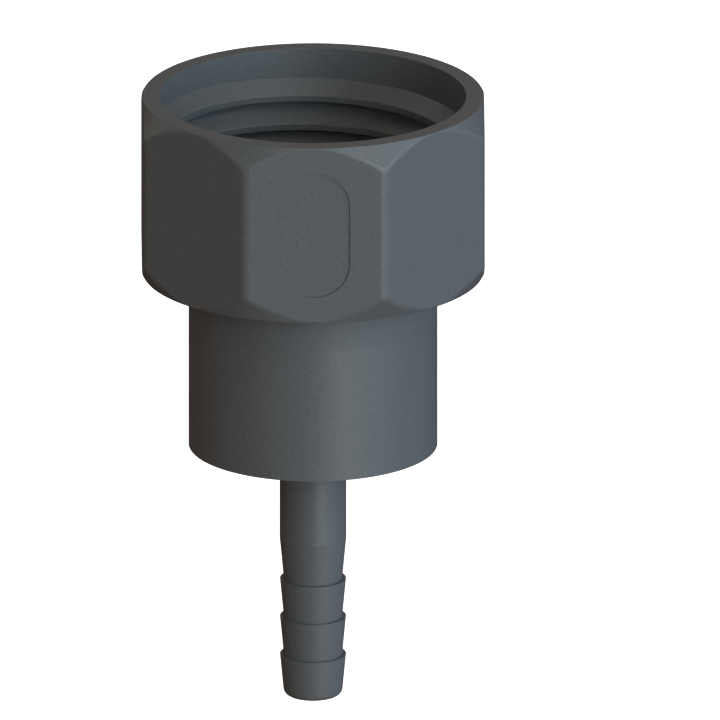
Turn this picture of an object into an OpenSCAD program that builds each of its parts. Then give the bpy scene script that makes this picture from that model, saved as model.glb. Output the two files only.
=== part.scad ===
// Hose tail adapter for the outlet valve of a bulk liquid container
// One moulded body (octagonal collar, skirt and barbed tail) and its flat sealing washer
// Origin at the centre of the mouth, +Z out of the mouth, all sizes in millimetres

/* [Collar] */
// Distance across two opposite flats of the octagon
collar_af = 68.2; // [67:0.1:80]
// Height of the collar, rim to underside
collar_h = 36.6; // [32:0.2:50]
// Radius of the upright corners between the flats
corner_r = 2.9; // [1:0.1:6]
// How far inside the flats the two end circles lie
end_inset = 0.1; // [0.1:0.1:1.5]
// Slope of the end cones, from the axis
end_cone = 30; // [20:1:45]

/* [Thread] */
// Diameter of the smooth mouth and of the thread's root
root_d = 61; // [59:0.5:62]
// Height of the thread's ridge above its root
ridge_h = 2.8; // [2:0.1:3]
// Rise of the thread in one turn
pitch = 6; // [5:0.5:8]
// Width of the flat crest
crest_w = 1.3; // [0.6:0.1:1.6]
// Slope of the flank that faces the mouth, from the axis
lead_flank = 45; // [35:1:50]
// Slope of the flank that carries the load, from square to the axis
load_flank = 3; // [1:1:10]
// Depth below the rim at which the ridge starts
ridge_start = 3.4; // [2.8:0.1:6]
// Direction in which the ridge starts, seen from the mouth
ridge_start_angle = 255; // [0:5:360]
// Angle over which the ridge grows to its full height
ridge_fade = 48; // [24:6:90]

/* [Seat] */
// Thickness of the shoulder under the washer
shoulder_t = 3.6; // [2.5:0.1:6]
// Height of the plain register between the washer and the thread
register_h = 4.4; // [3:0.2:8]
// How much smaller the register's radius is than the thread's crest
register_step = 0.3; // [0.2:0.1:1]
// How much smaller the washer's recess is in radius than the register
recess_step = 0.7; // [0.3:0.1:1.5]

/* [Washer] */
// Thickness of the washer
washer_t = 3; // [1.5:0.5:3.5]
// Width of the washer's ring, from its hole to its outside
washer_w = 4.5; // [3:0.1:6]
// Free space around the washer in its recess
washer_gap = 0.2; // [0.1:0.1:0.6]
// How far the washer's hole stands back from the passage
washer_setback = 1; // [0.5:0.5:3]

/* [Skirt] */
// Wall of the skirt, outside the passage
skirt_wall = 3.8; // [2.5:0.1:5]
// Height of the skirt below the collar
skirt_h = 36.2; // [20:0.2:60]
// Thickness of the skirt's floor
floor_t = 4; // [2.5:0.5:8]

/* [Hose tail] */
// Diameter of the barbs' edges
tail_d = 13.2; // [12:0.1:20]
// How much thicker the neck is than the barbs' edges
neck_extra = 0.1; // [0:0.1:1]
// Height of the barbs' edges above their feet
barb_h = 0.75; // [0.4:0.05:1.2]
// Wall between the barbs' feet and the bore
tail_wall = 1.6; // [1.2:0.05:2.5]
// Length of the plain neck
neck_l = 19.5; // [5:0.5:40]
// Length of the taper between the neck and the first barb
neck_taper_l = 8.6; // [4:0.1:15]
// Distance from one barb's edge to the next
barb_pitch = 7.9; // [5:0.1:12]
// Number of barbs
barb_count = 3; // [1:1:6]
// Radius at the foot of the neck
neck_fillet = 1; // [0.5:0.1:3]
// How much further than the pitch the last barb runs
tip_l = 0.65; // [0:0.05:4]
// Rounding of the tip's edge
tip_round = 1.4; // [0.2:0.1:1.5]

/* [Sunk pad] */
// Width of the sunk pad on the front flat
pad_w = 14; // [8:0.1:20]
// Distance from the sunk pad to the rim, and to the collar's underside
pad_margin = 5.35; // [4:0.05:7]
// Depth of the sunk pad
pad_depth = 0.3; // [0.1:0.1:0.6]

/* [Hidden] */
$fn = 128;
flats = 8;
flat_angle = 360 / flats;
flat_r = collar_af / 2;
end_r = flat_r - end_inset;
root_r = root_d / 2;
crest_r = root_r - ridge_h;
register_r = crest_r - register_step;
recess_r = register_r - recess_step;
washer_r = recess_r - washer_gap;
washer_hole_r = washer_r - washer_w;
passage_r = washer_hole_r - washer_setback;
skirt_r = passage_r + skirt_wall;
tail_r = tail_d / 2;
neck_r = (tail_d + neck_extra) / 2;
foot_r = tail_r - barb_h;
tail_bore_r = foot_r - tail_wall;
// Depths below the rim
seat_depth = collar_h - shoulder_t;
recess_depth = seat_depth - washer_t;
ledge_depth = recess_depth - register_h;
skirt_end = collar_h + skirt_h;
floor_depth = skirt_end - floor_t;
neck_end = skirt_end + neck_l;
tip_depth = neck_end + neck_taper_l + barb_count * barb_pitch + tip_l;
// The last barb's width at the tip, and the rounding that its wall leaves room for
tip_r = foot_r - tip_l * barb_h / barb_pitch;
tip_curve_r = min(tip_round, 0.9 * (tip_r - tail_bore_r));
// How deep the ridge is rooted in the wall, and how far a cut runs past a face
root_in = 0.6;
past = 1;
// Turn of the ridge from one ring of corners to the next, and where its end is inside the ledge
ring_step = 6;
ridge_turn = ring_step * ceil((ledge_depth + 2 * root_in - ridge_start) / pitch * 360 / ring_step);
ridge_foot_w = ridge_h * tan(lead_flank) + crest_w + ridge_h * tan(load_flank);

// Octagon with rounded corners, one flat facing each of the four main directions
module octagon() {
    corner_at = (flat_r - corner_r) / cos(flat_angle / 2);
    centres = [for (i = [0:flats - 1]) corner_at * [cos((i + 0.5) * flat_angle), sin((i + 0.5) * flat_angle)]];
    polygon([for (i = [0:flats - 1], side = [0, 1])
        centres[i] + corner_r * [cos((i + side) * flat_angle), sin((i + side) * flat_angle)]]);
    for (c = centres) translate(c) circle(corner_r);
}

// The flats, cut back by a cone at each end
module collar() {
    waist_r = end_r + tan(end_cone) * collar_h / 2;
    intersection() {
        translate([0, 0, -collar_h]) linear_extrude(collar_h) octagon();
        rotate_extrude() polygon([
            [0, 0], [end_r, 0], [waist_r, -collar_h / 2], [end_r, -collar_h], [0, -collar_h]
        ]);
    }
}

// Half section of the skirt and the barbed tail, from the collar's inside down to the tip
module skirt_and_tail() {
    fillet = [for (a = [0:15:90])
        [neck_r + neck_fillet * (1 - sin(a)), -skirt_end - neck_fillet * (1 - cos(a))]];
    barbs = [for (i = [0:barb_count - 1], side = [foot_r, tail_r])
        [side, -neck_end - neck_taper_l - i * barb_pitch]];
    tip = [for (a = [0:15:90])
        [tip_r - tip_curve_r * (1 - cos(a)), -tip_depth + tip_curve_r * (1 - sin(a))]];
    rotate_extrude() polygon(concat(
        [[0, -seat_depth], [skirt_r, -seat_depth], [skirt_r, -skirt_end]],
        fillet,
        [[neck_r, -neck_end]],
        barbs,
        tip,
        [[0, -tip_depth]]
    ));
}

// Everything that is open inside: mouth, register, washer's recess, passage and the tail's bore
module inside() {
    rotate_extrude() polygon([
        [0, past], [root_r, past], [root_r, -ledge_depth], [register_r, -ledge_depth],
        [register_r, -recess_depth], [recess_r, -recess_depth], [recess_r, -seat_depth],
        [passage_r, -seat_depth], [passage_r, -floor_depth], [tail_bore_r, -floor_depth],
        [tail_bore_r, -tip_depth - past], [0, -tip_depth - past]
    ]);
}

// Sunk pad in the middle of the front flat
module pad() {
    straight_h = collar_h - 2 * pad_margin - pad_w;
    translate([0, -flat_r + pad_depth, -collar_h / 2]) rotate([90, 0, 0])
        linear_extrude(pad_depth + past) {
            square([pad_w, straight_h], center = true);
            for (side = [-1, 1]) translate([0, side * straight_h / 2]) circle(pad_w / 2);
        }
}

// The ridge's four corners after it has turned by t, from the root's top to the root's foot
function ridge_ring(t) =
    let (
        depth = ridge_start + pitch * t / 360,
        grown = min(1, t / ridge_fade),
        top_r = root_r + root_in / 2 - (ridge_h + root_in / 2) * grown,
        foot = depth + ridge_foot_w,
        section = [
            [root_r + root_in, depth - root_in * tan(lead_flank)],
            [top_r, depth + (root_r - top_r) * tan(lead_flank)],
            [top_r, foot - (root_r - top_r) * tan(load_flank)],
            [root_r + root_in, foot + root_in * tan(load_flank)]
        ],
        a = ridge_start_angle - t
    )
    [for (p = section) [p[0] * cos(a), p[0] * sin(a), -p[1]]];

// Right-hand ridge of the thread, swept down the wall from near the rim into the ledge
module ridge() {
    rings = ridge_turn / ring_step;
    corners = [for (i = [0:rings]) each ridge_ring(i * ring_step)];
    sides = [for (i = [0:rings - 1], k = [0:3])
        let (a = 4 * i + k, b = 4 * i + (k + 1) % 4)
        each [[a, b + 4, b], [a, a + 4, b + 4]]];
    start_cap = [[0, 1, 2], [0, 2, 3]];
    last = 4 * rings;
    end_cap = [[last, last + 2, last + 1], [last, last + 3, last + 2]];
    polyhedron(corners, concat(sides, start_cap, end_cap));
}

module adapter_body() {
    color("#54585a") {
        difference() {
            union() {
                collar();
                skirt_and_tail();
            }
            inside();
            pad();
        }
        ridge();
    }
}

module sealing_washer() {
    color("#262626") rotate_extrude()
        translate([washer_hole_r, -seat_depth]) square([washer_w, washer_t]);
}

adapter_body();
sealing_washer();
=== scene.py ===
"""Looks of a moulded hose tail adapter and the washer in its socket.

Sizes and meshes are in millimetres in the frame of the part's source until they are finished.
"""

import math

import bmesh
import bpy
from mathutils import Matrix, Vector


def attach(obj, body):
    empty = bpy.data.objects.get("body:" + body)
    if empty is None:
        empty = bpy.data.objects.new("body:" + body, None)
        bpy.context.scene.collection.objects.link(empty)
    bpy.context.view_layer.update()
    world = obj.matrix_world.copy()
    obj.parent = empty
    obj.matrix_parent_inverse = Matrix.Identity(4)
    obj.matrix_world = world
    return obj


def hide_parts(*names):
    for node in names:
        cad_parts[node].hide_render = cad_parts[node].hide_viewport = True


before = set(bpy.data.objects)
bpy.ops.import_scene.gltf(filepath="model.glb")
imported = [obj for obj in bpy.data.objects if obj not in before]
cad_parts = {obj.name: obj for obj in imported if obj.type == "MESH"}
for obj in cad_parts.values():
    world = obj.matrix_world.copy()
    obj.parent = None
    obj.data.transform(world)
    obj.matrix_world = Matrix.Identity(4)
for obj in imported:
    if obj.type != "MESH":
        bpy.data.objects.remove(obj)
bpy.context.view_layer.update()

MM = 0.001
# Collar
FLATS = 8
FLAT_R = 34.1
END_INSET = 0.1
END_R = FLAT_R - END_INSET
COLLAR_H = 36.6
CORNER_R = 2.9
END_CONE = math.radians(30)
# How far from a crease between flat and cone its rounding starts, and from the corner under the collar
CREASE_CUT = 0.8
UNDER_CUT = 0.4
# Ridge of the thread; the angle at which it starts and the turn over which it grows are in degrees
ROOT_R = 30.5
RIDGE_H = 2.8
PITCH = 6.0
CREST_W = 1.3
LEAD_FLANK = math.radians(45)
LOAD_FLANK = math.radians(3)
RIDGE_START = 3.4
RIDGE_START_ANGLE = 255
RIDGE_FADE = 48
ROOT_IN = 0.6
# How far from the crest's edges their roundings start: towards the mouth, and away from it
CREST_LEAD_CUT = 0.15
CREST_LOAD_CUT = 0.03
# Seat and washer
SHOULDER_T = 3.6
WASHER_T = 3.0
REGISTER_H = 4.4
SEAT_Z = SHOULDER_T - COLLAR_H
RECESS_Z = SEAT_Z + WASHER_T
LEDGE_Z = RECESS_Z + REGISTER_H
REGISTER_STEP = 0.3
RECESS_STEP = 0.7
WASHER_GAP = 0.2
WASHER_W = 4.5
WASHER_SETBACK = 1.0
WASHER_CUT = 0.2
LEDGE_CUT = 0.3
REGISTER_R = ROOT_R - RIDGE_H - REGISTER_STEP
RECESS_R = REGISTER_R - RECESS_STEP
WASHER_R = RECESS_R - WASHER_GAP
WASHER_HOLE_R = WASHER_R - WASHER_W
PASSAGE_R = WASHER_HOLE_R - WASHER_SETBACK
# Skirt
SKIRT_WALL = 3.8
SKIRT_H = 36.2
FLOOR_T = 4.0
SKIRT_R = PASSAGE_R + SKIRT_WALL
SKIRT_END = -COLLAR_H - SKIRT_H
FLOOR_Z = SKIRT_END + FLOOR_T
# Tail
TAIL_R = 6.6
NECK_R = 6.65
BARB_H = 0.75
TAIL_WALL = 1.6
NECK_L = 19.5
NECK_TAPER_L = 8.6
BARB_PITCH = 7.9
BARB_COUNT = 3
TIP_L = 0.65
TIP_R = 5.79
TIP_CUT = 1.27
FOOT_R = TAIL_R - BARB_H
BORE_R = FOOT_R - TAIL_WALL
NECK_END = SKIRT_END - NECK_L
BARB_EDGES = [NECK_END - NECK_TAPER_L - i * BARB_PITCH for i in range(BARB_COUNT)]
TIP_Z = BARB_EDGES[-1] - BARB_PITCH - TIP_L
# Sunk pad
PAD_R = 7.0
PAD_MARGIN = 5.35
PAD_STRAIGHT = COLLAR_H - 2 * (PAD_MARGIN + PAD_R)
PAD_DEPTH = 0.3
# Plastic: grain, unevenness of the sheen, and a rougher band under the collar whose colour is darkened
# as painted shade
GRAIN_SIZE = 0.28
GRAIN_DEPTH = 0.026
GRAIN_DARK = (0.066, 0.072, 0.075)
GRAIN_LIGHT = (0.104, 0.112, 0.117)
SHEEN_SIZE = 14
PLASTIC_ROUGHNESS = (0.43, 0.47)
BAND_H = 9.15
BAND_PAINTED_SHADE = 0.97
BAND_DULL = 0.12
# Rubber
RUBBER_COLOUR = (0.02, 0.02, 0.021)
RUBBER_ROUGHNESS = (0.55, 0.75)
MOTTLE_SIZE = 1.5
MOTTLE_DEPTH = 0.05
# Slack in telling which surface a corner of the mesh lies on, and which normals are level
NEAR = 0.01
LEVEL = 0.05


def rounded(path, steps=4):
    """A closed path of (r, z, cut) corners as points, with an arc that starts cut away from each."""
    points = []
    for i, (r, z, cut) in enumerate(path):
        here = Vector((r, z))
        if not cut:
            points.append(here)
            continue
        before = Vector(path[i - 1][:2]) - here
        after = Vector(path[(i + 1) % len(path)][:2]) - here
        start = here + before.normalized() * cut
        end = here + after.normalized() * cut
        weight = math.sin(before.angle(after) / 2)
        for k in range(steps + 1):
            t = k / steps
            a, b, c = (1 - t) ** 2, 2 * t * (1 - t) * weight, t ** 2
            points.append((start * a + here * b + end * c) / (a + b + c))
    return points


def turned(points, angle):
    """Points of (r, z) in the half plane at this angle round the axis."""
    return [(p.x * math.cos(angle), p.x * math.sin(angle), p.y) for p in points]


def new_mesh(name, verts, faces):
    mesh = bpy.data.meshes.new(name)
    mesh.from_pydata(verts, [], faces)
    return mesh


def new_object(name, data):
    obj = bpy.data.objects.new(name, data)
    bpy.context.scene.collection.objects.link(obj)
    return obj


def solid_object(name, mesh):
    """An object of a closed mesh, with its faces turned outwards."""
    bm = bmesh.new()
    bm.from_mesh(mesh)
    bmesh.ops.recalc_face_normals(bm, faces=bm.faces)
    bm.to_mesh(mesh)
    bm.free()
    return new_object(name, mesh)


def ring_mesh(name, sections):
    """A closed ring from one closed section of (angle, points) after another round the axis."""
    verts = [vert for angle, points in sections for vert in turned(points, angle)]
    n, m = len(sections), len(sections[0][1])
    faces = [(j * m + i, j * m + (i + 1) % m, (j + 1) % n * m + (i + 1) % m, (j + 1) % n * m + i)
             for j in range(n) for i in range(m)]
    return new_mesh(name, verts, faces)


def tube_mesh(name, verts, m):
    """A capped tube from one closed section of m corners after another."""
    last = len(verts) - m
    faces = [(j + k, j + (k + 1) % m, j + m + (k + 1) % m, j + m + k)
             for j in range(0, last, m) for k in range(m)]
    caps = [tuple(range(m)), tuple(range(last, last + m))]
    return new_mesh(name, verts, faces + caps)


def octagon_columns(flat_steps=20, corner_steps=10):
    """(angle, radius) round the octagon, with a column wherever a flat meets a corner."""
    turn = 2 * math.pi / FLATS
    corner_at = (FLAT_R - CORNER_R) / math.cos(turn / 2)
    half = math.atan2(corner_at * math.sin(turn / 2), FLAT_R)
    columns = []
    for flat in range(FLATS):
        middle = flat * turn
        for k in range(flat_steps):
            off = half * (2 * k / flat_steps - 1)
            columns.append((middle + off, FLAT_R / math.cos(off)))
        for k in range(corner_steps):
            normal = middle + turn * k / corner_steps
            x = corner_at * math.cos(middle + turn / 2) + CORNER_R * math.cos(normal)
            y = corner_at * math.sin(middle + turn / 2) + CORNER_R * math.sin(normal)
            columns.append((math.atan2(y, x), math.hypot(x, y)))
    return columns


def body_section(octagon_r):
    """The body's closed section of rounded corners, where the octagon has this radius."""
    crease = (octagon_r - END_R) / math.tan(END_CONE)
    # In the middle of a flat the cone is short, and the rounding leaves more than half of it
    cut = min(CREASE_CUT, 0.45 * crease / math.cos(END_CONE))
    collar = [
        (ROOT_R, 0, 0.08), (END_R, 0, 0.06),
        (octagon_r, -crease, cut), (octagon_r, crease - COLLAR_H, cut),
        (END_R, -COLLAR_H, 0.08), (SKIRT_R, -COLLAR_H, UNDER_CUT),
    ]
    skirt_and_neck = [(SKIRT_R, SKIRT_END, 0.06), (NECK_R, SKIRT_END, 1.0), (NECK_R, NECK_END, 0.3)]
    barbs = [(r, z, 0.03) for z in BARB_EDGES for r in (FOOT_R, TAIL_R)]
    tip_and_inside = [
        (TIP_R, TIP_Z, TIP_CUT), (BORE_R, TIP_Z, 0.25), (BORE_R, FLOOR_Z, 0.4),
        (PASSAGE_R, FLOOR_Z, 1.0), (PASSAGE_R, SEAT_Z, 0.3), (RECESS_R, SEAT_Z, 0.1),
        (RECESS_R, RECESS_Z, 0.15), (REGISTER_R, RECESS_Z, 0.1), (REGISTER_R, LEDGE_Z, 0.25),
        (ROOT_R, LEDGE_Z, LEDGE_CUT),
    ]
    return rounded(collar + skirt_and_neck + barbs + tip_and_inside)


def ridge_section(t):
    """The ridge's section after it has turned by t degrees, its crest rounded towards the mouth."""
    depth = RIDGE_START + PITCH * t / 360
    foot = depth + RIDGE_H * math.tan(LEAD_FLANK) + CREST_W + RIDGE_H * math.tan(LOAD_FLANK)
    grown = min(1, t / RIDGE_FADE)
    top_r = ROOT_R + ROOT_IN / 2 - (RIDGE_H + ROOT_IN / 2) * grown
    rise = ROOT_R - top_r
    outer_r = ROOT_R + ROOT_IN
    return rounded([
        (outer_r, -depth + ROOT_IN * math.tan(LEAD_FLANK), 0),
        (top_r, -depth - rise * math.tan(LEAD_FLANK), CREST_LEAD_CUT),
        (top_r, -foot + rise * math.tan(LOAD_FLANK), CREST_LOAD_CUT),
        (outer_r, -foot - ROOT_IN * math.tan(LOAD_FLANK), 0),
    ], 3)


def ridge_mesh(ring_step=2.5):
    """The thread's right-hand ridge, rooted in the wall, down into the ledge."""
    turns = (-LEDGE_Z + 2 * ROOT_IN - RIDGE_START) / PITCH
    rings = math.ceil(turns * 360 / ring_step)
    verts = []
    for i in range(rings + 1):
        t = i * ring_step
        verts += turned(ridge_section(t), math.radians(RIDGE_START_ANGLE - t))
    return tube_mesh("ridge", verts, len(verts) // (rings + 1))


def pad_cutter_mesh(corner_steps=24, past=0.5):
    """What is cut from the front flat: a stadium with sheer walls."""
    verts = []
    for depth in (-past, PAD_DEPTH):
        for side in (1, -1):
            for k in range(corner_steps + 1):
                a = math.pi * k / corner_steps + (0 if side > 0 else math.pi)
                x = PAD_R * math.cos(a)
                z = PAD_R * math.sin(a) + side * PAD_STRAIGHT / 2 - COLLAR_H / 2
                verts.append((x, depth - FLAT_R, z))
    return tube_mesh("pad_cutter", verts, len(verts) // 2)


def apply_modifier(obj, modifier):
    bpy.context.view_layer.objects.active = obj
    bpy.ops.object.modifier_apply(modifier=modifier.name)


def combine(obj, other, operation):
    modifier = obj.modifiers.new("combine", "BOOLEAN")
    modifier.object = other
    modifier.operation = operation
    modifier.solver = "MANIFOLD"
    apply_modifier(obj, modifier)
    bpy.data.objects.remove(other)


def smooth_shaded(obj, angle=30):
    """Smooth shading between the sharp edges, with the large faces' normals kept."""
    bm = bmesh.new()
    bm.from_mesh(obj.data)
    for face in bm.faces:
        face.smooth = True
    for edge in bm.edges:
        edge.smooth = edge.calc_face_angle(math.pi) < math.radians(angle)
    bm.to_mesh(obj.data)
    bm.free()
    modifier = obj.modifiers.new("weighted", "WEIGHTED_NORMAL")
    modifier.keep_sharp = True
    apply_modifier(obj, modifier)


def is_turned(place, normal):
    """Whether a corner of the body lies on the skirt or tail, below the ledge or on the mouth's wall."""
    radius = math.hypot(place.x, place.y)
    skirt_or_tail = place.z < NEAR - COLLAR_H and radius < SKIRT_R + UNDER_CUT + NEAR
    below_ledge = place.z < LEDGE_Z - LEDGE_CUT and radius < ROOT_R
    mouth = abs(radius - ROOT_R) < NEAR and abs(normal.z) < LEVEL
    return skirt_or_tail or below_ledge or mouth


def turned_normals(obj):
    """On the turned surfaces, normals that point exactly away from the axis or towards it."""
    mesh = obj.data
    normals = [Vector(corner.vector) for corner in mesh.corner_normals]
    for i, loop in enumerate(mesh.loops):
        place = mesh.vertices[loop.vertex_index].co
        normal = normals[i]
        if not is_turned(place, normal):
            continue
        away = Vector((place.x, place.y, 0)).normalized()
        across = math.hypot(normal.x, normal.y)
        if normal.dot(away) < 0:
            across = -across
        normals[i] = away * across + Vector((0, 0, normal.z))
    mesh.normals_split_custom_set(normals)


def new_material(name):
    """A material with its nodes, its links and its shader."""
    material = bpy.data.materials.new(name)
    material.use_nodes = True
    nodes = material.node_tree.nodes
    return material, nodes, material.node_tree.links, nodes["Principled BSDF"]


def noise(nodes, links, place, size, detail):
    """Solid noise with features of about size millimetres."""
    texture = nodes.new("ShaderNodeTexNoise")
    texture.inputs["Scale"].default_value = 1 / (size * MM)
    texture.inputs["Detail"].default_value = detail
    links.new(place, texture.inputs["Vector"])
    return texture.outputs["Fac"]


def add_bump(nodes, links, shader, height, depth):
    """Relief of the surface, with a full height of depth millimetres."""
    bump = nodes.new("ShaderNodeBump")
    bump.inputs["Strength"].default_value = 1.0
    bump.inputs["Distance"].default_value = depth * MM
    links.new(height, bump.inputs["Height"])
    links.new(bump.outputs["Normal"], shader.inputs["Normal"])


def spread(nodes, links, value, limits):
    """A value from 0 to 1 spread between two limits."""
    node = nodes.new("ShaderNodeMapRange")
    node.inputs["To Min"].default_value, node.inputs["To Max"].default_value = limits
    links.new(value, node.inputs["Value"])
    return node.outputs["Result"]


def moulded_plastic():
    """Dark grey moulded plastic: fine speckled grain, faintly uneven sheen, and a rougher band under the
    collar with painted shade.
    """
    material, nodes, links, shader = new_material("moulded_plastic")
    place = nodes.new("ShaderNodeTexCoord").outputs["Object"]

    grain = noise(nodes, links, place, GRAIN_SIZE, 0)
    add_bump(nodes, links, shader, grain, GRAIN_DEPTH)
    colour = nodes.new("ShaderNodeMixRGB")
    colour.inputs["Color1"].default_value = (*GRAIN_DARK, 1)
    colour.inputs["Color2"].default_value = (*GRAIN_LIGHT, 1)
    links.new(grain, colour.inputs["Fac"])

    # Band under the collar: painted shade darkens its colour, and its roughness is raised
    split = nodes.new("ShaderNodeSeparateXYZ")
    links.new(place, split.inputs["Vector"])
    shaded_rough_band = nodes.new("ShaderNodeMath")
    shaded_rough_band.operation = "COMPARE"
    shaded_rough_band.inputs[1].default_value = -(COLLAR_H + BAND_H / 2) * MM
    shaded_rough_band.inputs[2].default_value = BAND_H / 2 * MM
    links.new(split.outputs["Z"], shaded_rough_band.inputs[0])
    painted_shade = nodes.new("ShaderNodeMixRGB")
    painted_shade.blend_type = "MULTIPLY"
    painted_shade.inputs["Color2"].default_value = (BAND_PAINTED_SHADE, BAND_PAINTED_SHADE, BAND_PAINTED_SHADE, 1)
    links.new(shaded_rough_band.outputs["Value"], painted_shade.inputs["Fac"])
    links.new(colour.outputs["Color"], painted_shade.inputs["Color1"])
    links.new(painted_shade.outputs["Color"], shader.inputs["Base Color"])

    sheen = spread(nodes, links, noise(nodes, links, place, SHEEN_SIZE, 3), PLASTIC_ROUGHNESS)
    roughness = nodes.new("ShaderNodeMath")
    roughness.operation = "MULTIPLY_ADD"
    roughness.inputs[1].default_value = BAND_DULL
    links.new(shaded_rough_band.outputs["Value"], roughness.inputs[0])
    links.new(sheen, roughness.inputs[2])
    links.new(roughness.outputs["Value"], shader.inputs["Roughness"])
    return material


def washer_rubber():
    """Black rubber, matt and slightly mottled."""
    material, nodes, links, shader = new_material("washer_rubber")
    place = nodes.new("ShaderNodeTexCoord").outputs["Object"]
    shader.inputs["Base Color"].default_value = (*RUBBER_COLOUR, 1)
    mottle = noise(nodes, links, place, MOTTLE_SIZE, 4)
    links.new(spread(nodes, links, mottle, RUBBER_ROUGHNESS), shader.inputs["Roughness"])
    add_bump(nodes, links, shader, mottle, MOTTLE_DEPTH)
    return material


def build_body():
    body = solid_object("moulded_body", ring_mesh("moulded_body", [
        (angle, body_section(radius)) for angle, radius in octagon_columns()]))
    combine(body, solid_object("ridge", ridge_mesh()), "UNION")
    combine(body, solid_object("pad_cutter", pad_cutter_mesh()), "DIFFERENCE")
    smooth_shaded(body)
    turned_normals(body)
    body.data.transform(Matrix.Scale(MM, 4))
    body.data.materials.clear()
    body.data.materials.append(moulded_plastic())
    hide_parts("adapter_body")
    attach(body, "root")


def build_washer(steps=160):
    path = rounded([
        (r, z, WASHER_CUT) for r, z in (
            (WASHER_HOLE_R, SEAT_Z), (WASHER_HOLE_R, RECESS_Z),
            (WASHER_R, RECESS_Z), (WASHER_R, SEAT_Z))])
    ring = solid_object("washer_ring", ring_mesh("washer_ring", [
        (2 * math.pi * k / steps, path) for k in range(steps)]))
    smooth_shaded(ring)
    ring.data.transform(Matrix.Scale(MM, 4))
    ring.data.materials.append(washer_rubber())
    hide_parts("sealing_washer")
    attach(ring, "root")


def direction(azimuth, elevation):
    """Unit vector towards a place seen from the part: azimuth 0 is the front, 90 degrees the right."""
    return Vector((
        math.sin(azimuth) * math.cos(elevation), -math.cos(azimuth) * math.cos(elevation),
        math.sin(elevation)))


def build_camera():
    """Parallel view from the front and 18 degrees above level, framed as the photograph is."""
    azimuth, elevation = math.radians(-0.64), math.radians(18)
    px_per_mm = 5.02
    frame_px = 720
    axis_px, mouth_px = 313.0, 95.7
    distance = 800
    beside = (frame_px / 2 - axis_px) / px_per_mm
    centre = Vector((
        beside * math.cos(azimuth), beside * math.sin(azimuth),
        (mouth_px - frame_px / 2) / px_per_mm / math.cos(elevation)))
    data = bpy.data.cameras.new("camera")
    data.type = "ORTHO"
    data.ortho_scale = frame_px / px_per_mm * MM
    data.clip_end = 10
    camera = new_object("camera", data)
    camera.location = (centre + direction(azimuth, elevation) * distance) * MM
    camera.rotation_euler = (math.pi / 2 - elevation, 0, azimuth)
    bpy.context.scene.camera = camera


def build_floor(half_width=4000, depth=300):
    """A plain pale floor well below the part, seen but not lighting it."""
    bm = bmesh.new()
    bmesh.ops.create_grid(bm, x_segments=8, y_segments=8, size=half_width * MM)
    mesh = bpy.data.meshes.new("floor")
    bm.to_mesh(mesh)
    bm.free()
    floor = new_object("floor", mesh)
    floor.location.z = -depth * MM
    material, _, _, shader = new_material("pale_floor")
    shader.inputs["Base Color"].default_value = (0.9, 0.9, 0.9, 1)
    shader.inputs["Roughness"].default_value = 0.9
    shader.inputs["Emission Color"].default_value = (1, 1, 1, 1)
    shader.inputs["Emission Strength"].default_value = 1.0
    mesh.materials.append(material)
    floor.visible_diffuse = False
    floor.visible_glossy = False
    floor.visible_shadow = False


# Colours of the lights and of the even fill
WARM = (1.0, 0.92, 0.74)
NEUTRAL = (1.0, 1.0, 0.93)
COOL = (0.78, 0.92, 1.0)
BLUE = (0.5, 0.75, 1.0)
FILL_COLOUR = (0.072, 0.034, 0.027)
# Lights far away: azimuth and elevation in degrees, apparent size, strength, colour
LIGHTS = (
    # Large soft box at the right of the camera, and what spreads from it
    (30, 10, 30, 1.52, COOL),
    (60, 10, 30, 0.76, BLUE),
    (75, 25, 20, 0.55, COOL),
    (30, 40, 30, 0.50, NEUTRAL),
    (-15, 25, 20, 0.27, NEUTRAL),
    # From low at the right, as off a white table
    (25, -10, 15, 0.40, NEUTRAL),
    (60, -20, 30, 0.185, NEUTRAL),
    (90, -20, 30, 0.07, BLUE),
    (120, -20, 30, 0.065, BLUE),
    (105, 10, 20, 0.25, BLUE),
    (0, -90, 30, 0.25, WARM),
    # From above
    (30, 70, 30, 0.105, NEUTRAL),
    (120, 70, 30, 0.32, WARM),
    # From the left and from behind
    (-30, -20, 30, 0.115, WARM),
    (-60, 10, 30, 0.14, WARM),
    (-90, -20, 30, 0.045, NEUTRAL),
    (-90, 40, 30, 0.15, WARM),
    (-120, 10, 30, 0.185, NEUTRAL),
    (-120, 40, 30, 0.17, COOL),
    (180, 5, 40, 0.115, NEUTRAL),
)


def build_lights():
    for azimuth, elevation, size, strength, colour in LIGHTS:
        data = bpy.data.lights.new("soft_light", "SUN")
        data.angle = math.radians(size)
        data.energy = strength
        data.color = colour
        light = new_object("soft_light", data)
        towards = direction(math.radians(azimuth), math.radians(elevation))
        light.rotation_euler = towards.to_track_quat("Z", "Y").to_euler()


def build_world():
    """A dim even fill for the part, and white where the view passes the floor's edge."""
    world = bpy.data.worlds.new("world")
    bpy.context.scene.world = world
    world.use_nodes = True
    nodes, links = world.node_tree.nodes, world.node_tree.links
    path = nodes.new("ShaderNodeLightPath")
    mix = nodes.new("ShaderNodeMixRGB")
    mix.inputs["Color1"].default_value = (*FILL_COLOUR, 1)
    mix.inputs["Color2"].default_value = (1, 1, 1, 1)
    links.new(path.outputs["Is Camera Ray"], mix.inputs["Fac"])
    links.new(mix.outputs["Color"], nodes["Background"].inputs["Color"])
    bpy.context.scene.view_settings.view_transform = "Standard"


build_camera()
build_body()
build_washer()
build_floor()
build_lights()
build_world()
